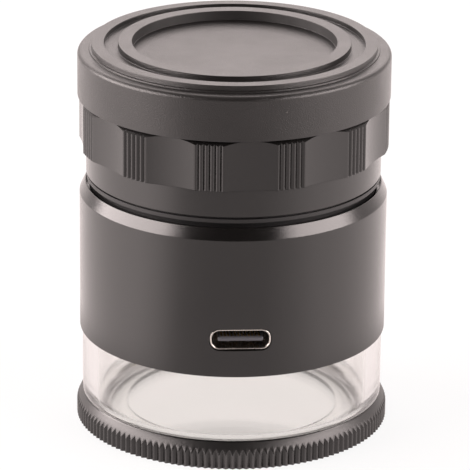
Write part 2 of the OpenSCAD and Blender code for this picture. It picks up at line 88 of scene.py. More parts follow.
# one node tree; add() makes every node in it
class Finish:
    def __init__(self, name, world=None):
        self.owner = world or bpy.data.materials.new(name)
        self.owner.use_nodes = True
        self.tree = self.owner.node_tree
        self.tree.nodes.clear()

    def add(self, kind, settings=None, inputs=None, output=0):
        node = self.tree.nodes.new(kind)
        for key, value in (settings or {}).items():
            if key == "stops":
                ramp = node.color_ramp
                while len(ramp.elements) < len(value):
                    ramp.elements.new(0.5)
                for element, (place, shade) in zip(ramp.elements, value):
                    element.position = place
                    element.color = (shade, shade, shade, 1)
            else:
                setattr(node, key, value)
        for key, value in (inputs or {}).items():
            socket = node.inputs[key]
            if isinstance(value, Signal):
                self.tree.links.new(value.socket, socket)
            elif socket.type == "RGBA":
                socket.default_value = (*value, 1)
            else:
                socket.default_value = value
        return Signal(self, node.outputs[output]) if node.outputs else node

    def place(self, stretch=(1, 1, 1)):
        where = self.add("ShaderNodeTexCoord", output="Object")
        return self.add("ShaderNodeMapping", None, {"Vector": where, "Scale": stretch})

    def axis(self, letter):
        return self.add("ShaderNodeSeparateXYZ", None, {0: self.place()}, output=letter)

    def noise(self, cellMm, stretch=(1, 1, 1), detail=2.0):
        return self.add("ShaderNodeTexNoise", None, {
            "Vector": self.place(stretch), "Scale": 1 / (cellMm * mm), "Detail": detail})

    def between(self, value, low, high, toLow=0.0, toHigh=1.0):
        return self.add("ShaderNodeMapRange", None, {
            "Value": value, "From Min": low, "From Max": high, "To Min": toLow, "To Max": toHigh})

    # a value that strays about its middle with a noise
    def about(self, noise, middle, spread):
        return self.between(noise, *noiseSpan, middle - spread / 2, middle + spread / 2)

    def blend(self, factor, first, second):
        return self.add("ShaderNodeMix", {"data_type": "RGBA"},
                        {0: factor, 6: first, 7: second}, output=2)

    def bump(self, height, depthMm):
        return self.add("ShaderNodeBump", None,
                        {"Height": height, "Strength": 1.0, "Distance": depthMm * mm})

    def rays(self, *kinds):
        return [self.add("ShaderNodeLightPath", output=kind) for kind in kinds]

    def surface(self, sockets):
        return self.close(self.add("ShaderNodeBsdfPrincipled", None, sockets))

    def close(self, shader):
        kind = "World" if isinstance(self.owner, bpy.types.World) else "Material"
        self.add("ShaderNodeOutput" + kind, None, {"Surface": shader})
        return self.owner


# black anodised metal
anodised = {"dye": (0.0030, 0.0028, 0.0027), "dyeWorn": (0.0048, 0.0044, 0.0042), "patchMm": 6,
            "ior": 1.6, "rough": 0.22, "roughSpread": 0.04, "innerRougher": 0.16,
            "grainMm": 0.12, "grainDeepMm": 0.012}


def satinAnodised(name, rougher=0.0, paintedSheenMm=None):
    finish = Finish(name)
    patch = finish.noise(anodised["patchMm"], detail=3)
    grain = finish.noise(anodised["grainMm"])
    rough = anodised["rough"] + rougher
    sockets = {
        "Base Color": finish.blend(patch, anodised["dye"], anodised["dyeWorn"]),
        "Roughness": finish.about(patch, rough, anodised["roughSpread"]),
        "IOR": anodised["ior"],
        "Normal": finish.bump(grain, anodised["grainDeepMm"])}
    if paintedSheenMm:
        # painted sheen: a clear coat on what lies outside this radius makes the crests shine more
        # than the grooves, standing in for the brighter floor the crests reflect
        across, along = finish.axis("X"), finish.axis("Y")
        square = across * across + along * along
        low, high = ((radius * mm) ** 2 for radius in paintedSheenMm)
        sockets["Coat Weight"] = finish.between(square, low, high)
        sockets["Coat Roughness"] = rough
    return finish.surface(sockets)


# the cap's grained plastic, with a few specks of dust
mouldedCap = {"dye": (0.006, 0.0055, 0.0052), "dyeDusty": (0.012, 0.0112, 0.0108), "patchMm": 5,
              "ior": 1.56, "rough": 0.33, "roughSpread": 0.07, "wallRough": 0.65,
              "grainMm": 0.18, "grainDeepMm": 0.045,
              "speckMm": 3.4, "speckSize": 0.03, "speckShare": 0.5, "speck": (0.3, 0.28, 0.26)}


def grainedMoulding(name):
    cap = mouldedCap
    finish = Finish(name)
    patch = finish.noise(cap["patchMm"], detail=4)
    grain = finish.noise(cap["grainMm"])
    dust = finish.add("ShaderNodeTexVoronoi", None, {
        "Vector": finish.place(), "Scale": 1 / (cap["speckMm"] * mm)}, output="Distance")
    speck = dust < cap["speckSize"]
    plain = finish.blend(patch, cap["dye"], cap["dyeDusty"])
    return finish.surface({
        "Base Color": finish.blend(speck * cap["speckShare"], plain, cap["speck"]),
        "Roughness": finish.about(patch, cap["rough"], cap["roughSpread"]),
        "IOR": cap["ior"],
        "Normal": finish.bump(grain, cap["grainDeepMm"])})


# clear acrylic, polished or ground
acrylic = {"tint": (0.985, 0.985, 0.975), "ior": 1.49, "waveMm": 9, "waveDeepMm": 0.01}


def clearMoulding(name, rough):
    finish = Finish(name)
    wave = finish.noise(acrylic["waveMm"], detail=1)
    return finish.surface({
        "Base Color": acrylic["tint"], "Roughness": rough, "IOR": acrylic["ior"],
        "Transmission Weight": 1.0, "Normal": finish.bump(wave, acrylic["waveDeepMm"])})


# lens glass
optical = {"tint": (0.94, 0.98, 0.96), "tintPale": (0.97, 0.99, 0.985), "filmMm": 12, "ior": 1.52}


def polishedGlass(name):
    finish = Finish(name)
    film = finish.noise(optical["filmMm"], detail=1)
    return finish.surface({
        "Base Color": finish.blend(film, optical["tint"], optical["tintPale"]),
        "Roughness": 0.0, "IOR": optical["ior"], "Transmission Weight": 1.0})


# brushed metals
brushed = {"darker": 0.88, "roughSpread": 0.12, "stretch": (1, 12, 1), "brushMm": 0.5,
           "brushDeepMm": 0.004}


def brushedSteel(name, colour, rough, stretch=brushed["stretch"], brushMm=brushed["brushMm"]):
    finish = Finish(name)
    brush = finish.noise(brushMm, stretch, detail=4)
    dark = tuple(brushed["darker"] * part for part in colour)
    return finish.surface({
        "Base Color": finish.blend(brush, dark, colour),
        "Roughness": finish.about(brush, rough, brushed["roughSpread"]),
        "Metallic": 1.0,
        "Normal": finish.bump(brush, brushed["brushDeepMm"])})


# plain plastics, rubber and foam
moulding = {"darker": 0.85, "roughSpread": 0.1, "patchMm": 3, "grainMm": 0.2, "grainDeepMm": 0.01}


def plainMoulding(name, colour, rough, grainMm=moulding["grainMm"],
                  grainDeepMm=moulding["grainDeepMm"]):
    finish = Finish(name)
    patch = finish.noise(moulding["patchMm"], detail=3)
    grain = finish.noise(grainMm)
    dark = tuple(moulding["darker"] * part for part in colour)
    return finish.surface({
        "Base Color": finish.blend(patch, dark, colour),
        "Roughness": finish.about(patch, rough, moulding["roughSpread"]),
        "Normal": finish.bump(grain, grainDeepMm)})


# the board's white solder mask over its tracks
circuit = {"mask": (0.78, 0.77, 0.74), "track": (0.7, 0.68, 0.63), "trackMm": 1.3,
           "trackEdge": 0.08, "trackDeepMm": 0.02, "patchMm": 4, "patchShare": 0.3,
           "rough": 0.32, "roughSpread": 0.08}


def solderMask(name):
    finish = Finish(name)
    track = finish.add("ShaderNodeTexBrick", None, {
        "Vector": finish.place(), "Scale": 1 / (circuit["trackMm"] * mm),
        "Mortar Size": circuit["trackEdge"]}, output="Fac")
    patch = finish.noise(circuit["patchMm"])
    mask = finish.blend(track, circuit["mask"], circuit["track"])
    return finish.surface({
        "Base Color": finish.blend(patch * circuit["patchShare"], mask, circuit["mask"]),
        "Roughness": finish.about(patch, circuit["rough"], circuit["roughSpread"]),
        "Normal": finish.bump(track, circuit["trackDeepMm"])})


# the battery's creased foil
foil = {"dark": (0.52, 0.54, 0.56), "light": (0.66, 0.68, 0.7), "creaseMm": 1.6,
        "creaseDeepMm": 0.08, "rough": 0.335, "roughSpread": 0.17}


def batteryPouch(name):
    finish = Finish(name)
    crease = finish.noise(foil["creaseMm"], detail=5)
    return finish.surface({
        "Base Color": finish.blend(crease, foil["dark"], foil["light"]),
        "Roughness": finish.about(crease, foil["rough"], foil["roughSpread"]),
        "Metallic": 1.0,
        "Normal": finish.bump(crease, foil["creaseDeepMm"])})


# a red wire beside a black one
wires = {"red": (0.42, 0.02, 0.02), "black": (0.012, 0.012, 0.012), "sheenMm": 0.6,
         "sheenDeepMm": 0.01, "rough": 0.41, "roughSpread": 0.1}


def wirePair(name, node):
    finish = Finish(name)
    low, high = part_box(node)
    dark = finish.axis("X") > (low.x + high.x) / 2
    sheen = finish.noise(wires["sheenMm"])
    return finish.surface({
        "Base Color": finish.blend(dark, wires["red"], wires["black"]),
        "Roughness": finish.about(sheen, wires["rough"], wires["roughSpread"]),
        "Normal": finish.bump(sheen, wires["sheenDeepMm"])})


blackMetal = satinAnodised("blackAnodised")
innerBlack = satinAnodised("innerAnodised", rougher=anodised["innerRougher"])
glassFinish = polishedGlass("lensGlass")
print("shared finishes made")

# how meshes are made: steps round a turned piece or a rod, segments of a rounded edge
mesher = {"turnSteps": 256, "rodSteps": 64, "broadMm": 0.3, "broadSegments": 8, "fineSegments": 3,
          "weld": 1e-7, "sharpDeg": 30}


# a turned piece: (radius, height, edge rounding) in mm, outline closed or from axis to axis
def turned(profile, steps=mesher["turnSteps"], closed=True):
    bm = bmesh.new()
    verts = [bm.verts.new((point[0] * mm, 0, point[1] * mm)) for point in profile]
    ends = verts[1:] + (verts[:1] if closed else [])
    for start, end in zip(verts, ends):
        bm.edges.new((start, end))
    rounds = {}
    for vert, point in zip(verts, profile):
        if len(point) > 2:
            rounds.setdefault(point[2], []).append(vert)
    for radius, corners in rounds.items():
        segments = mesher["broadSegments" if radius > mesher["broadMm"] else "fineSegments"]
        bmesh.ops.bevel(bm, geom=corners, offset=radius * mm, offset_type="OFFSET",
                        segments=segments, profile=0.5, affect="VERTICES", material=-1)
    bmesh.ops.spin(bm, geom=bm.verts[:] + bm.edges[:], cent=(0, 0, 0), axis=(0, 0, 1),
                   angle=tau, steps=steps, use_merge=True)
    return bm


# a ring whose outline changes with the angle: each ring is a (radius, height) rule in mm
def ringed(rings, angles):
    def level(rule, angle):
        radius, height = rule(angle)
        return Vector((radius * math.cos(angle), radius * math.sin(angle), height)) * mm

    bm = bmesh.new()
    bmesh.ops.create_circle(bm, segments=len(angles), radius=mm)
    for vert, angle in zip(bm.verts, angles):
        vert.co = level(rings[0], angle)
    first = edges = bm.edges[:]
    for rule in rings[1:]:
        made = bmesh.ops.extrude_edge_only(bm, edges=edges)["geom"]
        verts = {item for item in made if isinstance(item, bmesh.types.BMVert)}
        edges = [item for item in made
                 if isinstance(item, bmesh.types.BMEdge) and verts.issuperset(item.verts)]
        for vert in verts:
            vert.co = level(rule, math.atan2(vert.co.y, vert.co.x))
    bmesh.ops.bridge_loops(bm, edges=first + edges)
    return bm


def fixed(radius, height):
    return lambda angle: (radius, height)


# a plate with round corners that faces -Y at yFront; deepen() makes it a rod
def roundedPlate(wide, tall, corner, yFront, zMiddle):
    bm = bmesh.new()
    steps = mesher["rodSteps"]
    made = bmesh.ops.create_circle(bm, cap_ends=True, segments=steps, radius=corner * mm)
    half = Matrix.Rotation(tau / (2 * steps), 3, "Z")
    bmesh.ops.rotate(bm, verts=bm.verts, cent=(0, 0, 0), matrix=half)
    for vert in made["verts"]:
        vert.co.x += math.copysign((wide / 2 - corner) * mm, vert.co.x)
        vert.co.y += math.copysign((tall / 2 - corner) * mm, vert.co.y)
    upright = Matrix.Rotation(tau / 4, 3, "X")
    bmesh.ops.rotate(bm, verts=bm.verts, cent=(0, 0, 0), matrix=upright)
    bmesh.ops.translate(bm, verts=bm.verts, vec=(0, yFront * mm, zMiddle * mm))
    return bm


def deepen(bm, length):
    made = bmesh.ops.extrude_face_region(bm, geom=bm.faces[:])["geom"]
    verts = [item for item in made if isinstance(item, bmesh.types.BMVert)]
    bmesh.ops.translate(bm, verts=verts, vec=(0, length * mm, 0))
    return bm


def settle(bm):
    bmesh.ops.remove_doubles(bm, verts=bm.verts, dist=mesher["weld"])
    bmesh.ops.recalc_face_normals(bm, faces=bm.faces)
    mesh = bpy.data.meshes.new("piece")
    bm.to_mesh(mesh)
    bm.free()
    return mesh


def combined(base, others, operation):
    holder = bpy.data.objects.new("holder", settle(base))
    bpy.context.scene.collection.objects.link(holder)
    tools = []
    for other in others:
        tool = bpy.data.objects.new("tool", settle(other))
        bpy.context.scene.collection.objects.link(tool)
        step = holder.modifiers.new("step", "BOOLEAN")
        step.operation, step.object, step.solver = operation, tool, "EXACT"
        tools.append(tool)
    seen = holder.evaluated_get(bpy.context.evaluated_depsgraph_get())
    bm = bmesh.new()
    bm.from_mesh(seen.to_mesh())
    for spare in tools + [holder]:
        bpy.data.objects.remove(spare)
    return bm


# another finish for the faces that a rule on radius and height picks, in mm
def refinish(bm, index, rule):
    for face in bm.faces:
        spot = face.calc_center_median() / mm
        if rule(math.hypot(spot.x, spot.y), spot.z):
            face.material_index = index


def makePiece(name, bm, finishes, body, node):
    mesh = settle(bm)
    mesh.name = name
    mesh.shade_smooth()
    mesh.set_sharp_from_angle(angle=math.radians(mesher["sharpDeg"]))
    for finish in finishes:
        mesh.materials.append(finish)
    piece = bpy.data.objects.new(name, mesh)
    bpy.context.scene.collection.objects.link(piece)
    # large faces lead the shading, so a rounded edge doesn't bend the wall beside it
    weigh = piece.modifiers.new("weigh", "WEIGHTED_NORMAL")
    weigh.keep_sharp = True
    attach(piece, body)
    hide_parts(node)
    print("made", name, "with", len(mesh.polygons), "faces")


def extent(node):
    low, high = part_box(node)
    return low / mm, high / mm


# dust cap: two ridges round a recess, with a ledge and a rounded shoulder outside
dustCap = {"wall": 1.25, "topThick": 1.2, "insideRound": 0.4, "edgeRound": 0.7, "recessDeep": 1.45,
           "innerRidge": 34.52, "innerWide": 2.08, "outerRidge": 42.4, "outerWide": 1.86,
           "ridgeStep": 0.16, "grooveDeep": 0.9, "ledgeWide": 0.36, "ledgeTall": 0.24, "fall": 0.1,
           "soft": 0.09, "softFine": 0.05}


def makeDustCap():
    cap = dustCap
    low, high = extent("dust_cap")
    outer, bottom, top = high.x, low.z, high.z
    inside = outer - cap["wall"]
    floor = top - cap["recessDeep"]
    under = floor - cap["topThick"]
    groove = top - cap["grooveDeep"]
    shoulder = groove - cap["ledgeTall"]
    inner, outerR = cap["innerRidge"] / 2, cap["outerRidge"] / 2
    recess, hollow = inner - cap["innerWide"], outerR - cap["outerWide"]
    ledge, step = outerR + cap["ledgeWide"], top - cap["ridgeStep"]
    soft, fine = cap["soft"], cap["softFine"]
    outline = [(0, under), (inside, under, cap["insideRound"]), (inside, bottom, soft),
               (outer, bottom, soft), (outer, shoulder - cap["fall"], cap["edgeRound"]),
               (ledge, shoulder, fine), (ledge, groove, soft), (outerR, groove, fine),
               (outerR, step, soft), (hollow, step, soft), (hollow, groove, soft),
               (inner, groove, soft), (inner, top, soft), (recess, top, soft),
               (recess, floor, soft), (0, floor)]
    bm = turned(outline, closed=False)

    def onRecessWall(radius, height):
        return floor < height < top - soft and abs(radius - recess) < near

    refinish(bm, 1, onRecessWall)
    capFinish = grainedMoulding("capMoulding")
    capWall = plainMoulding("capWall", mouldedCap["dye"], mouldedCap["wallRough"])
    makePiece("dustCap", bm, [capFinish, capWall], "cap", "dust_cap")


makeDustCap()

# focus ring: grooved lands between hollows, then a collar, a thin groove, a band and the skirt
focusRing = {"gripAcross": 46.24, "gripTall": 7.65, "collarAcross": 44.06, "collarTall": 4.25,
             "skirtAcross": 42.9, "skirtWall": 1.8, "skirtLong": 8.2, "undercutTall": 1.0,
             "undercutDeep": 0.6, "lineTall": 0.28, "lineDeep": 0.4, "bandTall": 0.62, "bandIn": 0.1,
             "dragAt": 1.65, "dragHalf": 0.66, "dragDeep": 1.09, "neckAcross": 43.86,
             "dishRim": 2.4, "dishDeep": 5.8, "cellAcross": 25.14, "seatDown": 1.5,
             "hollows": 12, "hollowDeep": 0.59, "hollowColumns": 28, "landDeg": 10.4,
             "landTurnDeg": 18.1, "grooves": 5, "grooveDeep": 0.25, "grooveColumns": 8,
             "chamfer": 0.7, "soft": 0.08, "skirtColour": (0.007, 0.007, 0.0075), "skirtRough": 0.5}


def makeFocusRing():
    ring = focusRing
    low, high = extent("focus_ring")
    bottom, top = low.z, high.z
    grip, collar, neck = ring["gripAcross"] / 2, ring["collarAcross"] / 2, ring["neckAcross"] / 2
    skirt, cell, soft = ring["skirtAcross"] / 2, ring["cellAcross"] / 2, ring["soft"]
    skirtIn, waist, fine = skirt - ring["skirtWall"], skirt - ring["undercutDeep"], soft / 2
    collar0 = bottom + ring["skirtLong"]
    grip0 = collar0 + ring["collarTall"]
    grip1 = grip0 + ring["gripTall"]
    seat = grip0 - ring["seatDown"]
    band, band1 = collar - ring["bandIn"], collar0 - ring["lineTall"]
    band0, line = band1 - ring["bandTall"], band - ring["lineDeep"]
    waist0 = band0 - ring["undercutTall"]
    drag, dragIn = bottom + ring["dragAt"], skirt - ring["dragDeep"]
    drag0, drag1 = drag - ring["dragHalf"], drag + ring["dragHalf"]
    # each hollow is the cut of a round cutter whose middle lies outside the ring
    sector = tau / ring["hollows"]
    turn = math.radians(ring["landTurnDeg"])
    landHalf = math.radians(ring["landDeg"]) / 2
    hollowHalf = sector / 2 - landHalf
    chord = grip * math.sin(hollowHalf)
    sag = ring["hollowDeep"] - grip * (1 - math.cos(hollowHalf))
    cutter = (chord * chord + sag * sag) / (2 * sag)
    away = grip - ring["hollowDeep"] + cutter

    def outline(angle):
        offset = (angle - turn + sector / 2) % sector - sector / 2
        if abs(offset) < landHalf:
            place = (offset + landHalf) / (2 * landHalf) * ring["grooves"]
            return grip - ring["grooveDeep"] * (1 - abs(math.cos(math.pi * place)))
        swing = sector / 2 - abs(offset)
        return away * math.cos(swing) - math.sqrt(cutter ** 2 - (away * math.sin(swing)) ** 2)

    landSteps, hollowSteps = ring["grooves"] * ring["grooveColumns"], ring["hollowColumns"]
    angles = []
    for hollow in range(ring["hollows"]):
        start = turn + hollow * sector - landHalf
        end = turn + hollow * sector + landHalf
        angles += [start + 2 * landHalf * k / landSteps for k in range(landSteps)]
        angles += [end + 2 * hollowHalf * k / hollowSteps for k in range(hollowSteps)]

    rim = grip - ring["chamfer"]
    rings = [fixed(skirtIn, bottom), fixed(skirt - soft, bottom), fixed(skirt, bottom + soft),
             fixed(skirt, drag0), fixed(dragIn, drag0), fixed(dragIn, drag1), fixed(skirt, drag1),
             fixed(skirt, waist0), fixed(waist, waist0), fixed(waist, band0),
             fixed(band - fine, band0), fixed(band, band0 + fine), fixed(band, band1 - fine),
             fixed(band - fine, band1), fixed(line, band1), fixed(line, collar0),
             fixed(collar - soft, collar0), fixed(collar, collar0 + soft), fixed(collar, grip0),
             lambda angle: (outline(angle) - soft, grip0),
             lambda angle: (outline(angle), grip0 + soft),
             lambda angle: (outline(angle), grip1 - (outline(angle) - rim)),
             fixed(rim, grip1), fixed(neck, grip1), fixed(neck, top - soft), fixed(neck - soft, top),
             fixed(neck - ring["dishRim"], top), fixed(cell, top - ring["dishDeep"]),
             fixed(cell, seat), fixed(skirtIn, seat)]
    bm = ringed(rings, angles)
    # the skirt below the collar gets a duller black that reflects less, so it looks darker than the
    # anodised ring above
    refinish(bm, 1, lambda radius, height: height < collar0 and radius > skirtIn)
    dullBlack = plainMoulding("skirtDullBlack", ring["skirtColour"], ring["skirtRough"])
    makePiece("focusRing", bm, [blackMetal, dullBlack], "focus", "focus_ring")


makeFocusRing()

# body shell: a bevelled tube with a web inside, cut for the port and the button
bodyShell = {"wall": 1.5, "bevelTall": 1.7, "bevelIn": 0.8, "mouthIn": 0.54, "mouthDeep": 1.0,
             "webTop": 15.25, "webThick": 1.2, "webIn": 4.0, "soft": 0.08, "softFine": 0.05,
             "slotGap": 0.1, "buttonGap": 0.08, "past": 1.0, "steps": 360}


def makeBodyShell():
    shell = bodyShell
    low, high = extent("body_shell")
    outer, bottom, top = high.x, low.z, high.z
    bore = outer - shell["wall"]
    mouth, mouthFloor = bore + shell["mouthIn"], top - shell["mouthDeep"]
    web, web1 = bore - shell["webIn"], bottom + shell["webTop"]
    web0 = web1 - shell["webThick"]
    soft, fine = shell["soft"], shell["softFine"]
    outline = [(bore, bottom, fine), (outer, bottom, soft), (outer, top - shell["bevelTall"], soft),
               (outer - shell["bevelIn"], top, fine), (mouth, top, fine), (mouth, mouthFloor),
               (bore, mouthFloor), (bore, web1), (web, web1), (web, web0), (bore, web0)]
    portLow, portHigh = extent("usb_socket")
    gap, past = shell["slotGap"], shell["past"]
    slot = roundedPlate(portHigh.x - portLow.x + 2 * gap, portHigh.z - portLow.z + 2 * gap,
                        usbPort["corner"] + gap, -outer - past, (portLow.z + portHigh.z) / 2)
    deepen(slot, 2 * (shell["wall"] + past))
    buttonLow, buttonHigh = extent("power_button")
    radius = powerButton["across"] / 2 + shell["buttonGap"]
    hole = roundedPlate(2 * radius, 2 * radius, radius, buttonLow.y,
                        (buttonLow.z + buttonHigh.z) / 2)
    deepen(hole, outer + past - buttonLow.y)
    cut = combined(turned(outline, steps=shell["steps"]), [slot, hole], "DIFFERENCE")
    makePiece("bodyShell", cut, [blackMetal], "body", "body_shell")


# lamp button: a dished cap with a flange inside the shell
powerButton = {"across": 5.0, "flangeThick": 0.7, "flangeSoft": 0.05, "soft": 0.2, "dishDeep": 0.14,
               "dishAcross": 4.0, "dishSoft": 0.1, "slopeIn": 0.6, "slopeDeep": 0.7,
               "slopeRound": 0.3, "steps": 96}


def makePowerButton():
    button = powerButton
    low, high = extent("power_button")
    flange, long = (high.x - low.x) / 2, high.y - low.y
    across, dish = button["across"] / 2, button["dishAcross"] / 2
    thick, deep, flangeSoft = button["flangeThick"], button["dishDeep"], button["flangeSoft"]
    outline = [(0, 0), (flange, 0, flangeSoft), (flange, thick, flangeSoft), (across, thick),
               (across, long, button["soft"]), (dish, long, button["dishSoft"]),
               (dish * button["slopeIn"], long - deep * button["slopeDeep"], button["slopeRound"]),
               (0, long - deep)]
    bm = turned(outline, steps=button["steps"], closed=False)
    outwards = Matrix.Rotation(-tau / 4, 3, "X")
    bmesh.ops.rotate(bm, verts=bm.verts, cent=(0, 0, 0), matrix=outwards)
    bmesh.ops.translate(bm, verts=bm.verts, vec=(0, low.y * mm, (low.z + high.z) / 2 * mm))
    makePiece("powerButton", bm, [blackMetal], "button", "power_button")


# charging port: rolled steel shell, and the tongue on its block
usbPort = {"wall": 0.27, "corner": 1.42, "lip": 0.12, "tongueWide": 6.69, "tongueThick": 0.7,
           "tongueBack": 0.1, "blockLong": 2.19, "fit": 0.02, "soft": 0.25, "segments": 4,
           "steel": (0.74, 0.71, 0.66), "steelRough": 0.24,
           "tongueColour": (0.075, 0.076, 0.086), "tongueRough": 0.3}


def makeUsbPort():
    port = usbPort
    low, high = extent("usb_socket")
    wide, tall, long = high.x - low.x, high.z - low.z, high.y - low.y
    middle = (low.z + high.z) / 2
    bm = roundedPlate(wide, tall, port["corner"], low.y, middle)
    rim = bmesh.ops.inset_region(bm, faces=bm.faces[:], thickness=port["wall"] * mm,
                                 use_boundary=True, use_even_offset=True)["faces"]
    spare = [face for face in bm.faces if face not in rim]
    bmesh.ops.delete(bm, geom=spare, context="FACES_ONLY")
    deepen(bm, long)

    def inFront(item):
        return all(abs(vert.co.y / mm - low.y) < near for vert in item.verts)

    # the two edges of the front rim are rolled
    front = [edge for edge in bm.edges
             if inFront(edge) and not all(inFront(face) for face in edge.link_faces)]
    bmesh.ops.bevel(bm, geom=front, offset=port["lip"] * mm, segments=port["segments"],
                    profile=0.5, affect="EDGES", material=-1)
    steelFinish = brushedSteel("socketSteel", port["steel"], port["steelRough"])
    makePiece("usbSocket", bm, [steelFinish], "body", "usb_socket")

    inset, start = port["wall"] + port["fit"], high.y - port["blockLong"]
    block = roundedPlate(wide - 2 * inset, tall - 2 * inset, port["corner"] - inset, start, middle)
    deepen(block, port["blockLong"])
    tip = low.y + port["tongueBack"]
    reach = high.y - port["blockLong"] / 2 - tip
    tongue = bmesh.new()
    bmesh.ops.create_cube(tongue, size=mm)
    bmesh.ops.scale(tongue, verts=tongue.verts,
                    vec=(port["tongueWide"], reach, port["tongueThick"]))
    bmesh.ops.translate(tongue, verts=tongue.verts, vec=Vector((0, tip + reach / 2, middle)) * mm)
    bmesh.ops.bevel(tongue, geom=tongue.edges[:], offset=port["soft"] * mm,
                    segments=port["segments"], profile=0.5, affect="EDGES", material=-1)
    tongueFinish = plainMoulding("tongueMoulding", port["tongueColour"], port["tongueRough"])
    joined = combined(block, [tongue], "UNION")
    makePiece("usbTongue", joined, [tongueFinish], "body", "usb_tongue")


# the shell is cut to the settings of the button and the port
makeBodyShell()
makePowerButton()
makeUsbPort()

# clear foot: a clear cup whose floor runs down in a curve to a wide viewing hole
clearFoot = {"across": 45.2, "wall": 2.4, "shoulderAcross": 42.9, "collarAcross": 42.6,
             "holeAcross": 31.8, "holeEdge": 0.65, "flareTall": 2.0, "flareRound": 5.0,
             "flareSteps": 10, "collarTall": 2.32, "showTall": 10.28, "soft": 0.06, "softFine": 0.05,
             "steps": 360, "insideRough": 0.1, "groundRough": 0.3}


def makeClearFoot():
    foot = clearFoot
    low, high = extent("clear_base")
    bottom, top = low.z, high.z
    hole, outer, collar = foot["holeAcross"] / 2, foot["across"] / 2, foot["collarAcross"] / 2
    inner, shoulder = outer - foot["wall"], foot["shoulderAcross"] / 2
    under = bottom + foot["collarTall"]
    joint = under + foot["showTall"]
    soft, fine = foot["soft"], foot["softFine"]
    # the flare is an arc from the wall down to the edge of the hole
    bend, steps = foot["flareRound"], foot["flareSteps"]
    end = Vector((hole, bottom + foot["holeEdge"]))
    start = Vector((inner, end.y + foot["flareTall"]))
    chord = start - end
    rise = math.sqrt(bend ** 2 - chord.length_squared / 4)
    middle = (start + end) / 2 + Vector((-chord.y, chord.x)).normalized() * rise
    first, last = (math.atan2(*(point - middle).yx) for point in (start, end))
    turns = [first + (last - first) * k / steps for k in range(steps + 1)]
    flare = [tuple(middle + bend * Vector((math.cos(turn), math.sin(turn)))) for turn in turns]
    outline = [(hole, bottom, fine), (collar, bottom, fine), (collar, under, fine),
               (outer, under, soft), (outer, joint, fine), (shoulder, joint, fine),
               (shoulder, top, fine), (inner, top, fine)] + flare
    bm = turned(outline, steps=foot["steps"])
    refinish(bm, 1, lambda radius, height: hole < radius < inner + near and height > bottom + fine)
    refinish(bm, 2, lambda radius, height: radius > collar and abs(height - under) < near)
    finishes = [clearMoulding("clearAcrylic", 0.0), clearMoulding("clearInside", foot["insideRough"]),
                clearMoulding("clearGround", foot["groundRough"])]
    makePiece("clearFoot", bm, finishes, "body", "clear_base")


makeClearFoot()

# base ring: broad grooves between narrow rounded crests, ending in pointed arches on the shoulder
baseRing = {"wall": 2.15, "ribs": 144, "ribDeep": 0.37, "ribTall": 2.24, "ribRun": 0.785,
            "crest": 0.22, "crestRound": 0.06, "crestSide": 0.03, "bow": 0.85,
            "grooveColumns": (0.22, 0.3, 0.4), "archEdge": 0.09, "archTop": 1.2,
            "topAcross": 45.36, "topEdge": 0.16, "lipThick": 0.6, "lipIn": 1.4, "chamfer": 0.05,
            "soft": 0.06, "paintedSheenDepth": 0.16, "shoulderNear": 0.03, "shoulderRougher": 0.16}


def makeBaseRing():
    ring = baseRing
    high = extent("base_ring")[1]
    outer, top = high.x, high.z
    bore, lip, soft = outer - ring["wall"], ring["lipThick"], ring["soft"]
    lipIn = bore - ring["lipIn"]
    pitch = tau / ring["ribs"]
    deep, tall, run = ring["ribDeep"], ring["ribTall"], ring["ribRun"]
    half, crestRound = ring["crest"] / 2, ring["crestRound"]
    archTop = Vector((outer - ring["archTop"] * deep, tall + ring["archTop"] * run))
    end, edgeTop = ring["topAcross"] / 2, ring["topEdge"]
    chamfer, edge = ring["chamfer"], ring["archEdge"]

    def depth(angle):
        place = abs((angle / pitch + 0.5) % 1 - 0.5)
        if place < half:
            return crestRound * (place / half) ** 2
        share = ((place - half) / (0.5 - half)) ** ring["bow"]
        return crestRound + (deep - crestRound) * share

    def arch(angle, along):
        slope = Vector((-deep, run)).normalized() * along
        height = tall + depth(angle) * run / deep + slope.y
        return outer - depth(angle) + slope.x * (along > 0), height

    side = [half / 2, half, half + ring["crestSide"], *ring["grooveColumns"]]
    places = [0.0] + side + [0.5] + [1 - place for place in reversed(side)]
    angles = [(i + place) * pitch for i in range(ring["ribs"]) for place in places]
    rings = [fixed(lipIn, 0), lambda angle: (outer - depth(angle) - chamfer, 0),
             lambda angle: (outer - depth(angle), chamfer),
             lambda angle: arch(angle, -edge), lambda angle: arch(angle, edge), fixed(*archTop),
             fixed(end, top - edgeTop), fixed(end - edgeTop, top), fixed(bore + soft, top),
             fixed(bore, top - soft), fixed(bore, lip), fixed(lipIn, lip)]
    bm = ringed(rings, angles)

    def onShoulder(radius, height):
        cone = outer - (height - tall) * deep / run
        return height > tall and abs(radius - cone) < ring["shoulderNear"]

    refinish(bm, 1, onShoulder)
    # the crests get a painted sheen: a clear coat from this depth out to the crest tips
    crest = (outer - ring["paintedSheenDepth"], outer - crestRound)
    crestMetal = satinAnodised("crestSheenAnodised", paintedSheenMm=crest)
    shoulderMetal = satinAnodised("shoulderAnodised", rougher=ring["shoulderRougher"])
    makePiece("baseRing", bm, [crestMetal, shoulderMetal], "base_ring", "base_ring")


makeBaseRing()

# reticle glass: a flat disc with ground edges
reticleGlass = {"soft": 0.15}


def makeReticleGlass():
    low, high = extent("reticle_glass")
    soft = reticleGlass["soft"]
    outline = [(0, low.z), (high.x, low.z, soft), (high.x, high.z, soft), (0, high.z)]
    disc = turned(outline, closed=False)
    makePiece("reticleGlass", disc, [glassFinish], "reticle", "reticle_glass")


makeReticleGlass()

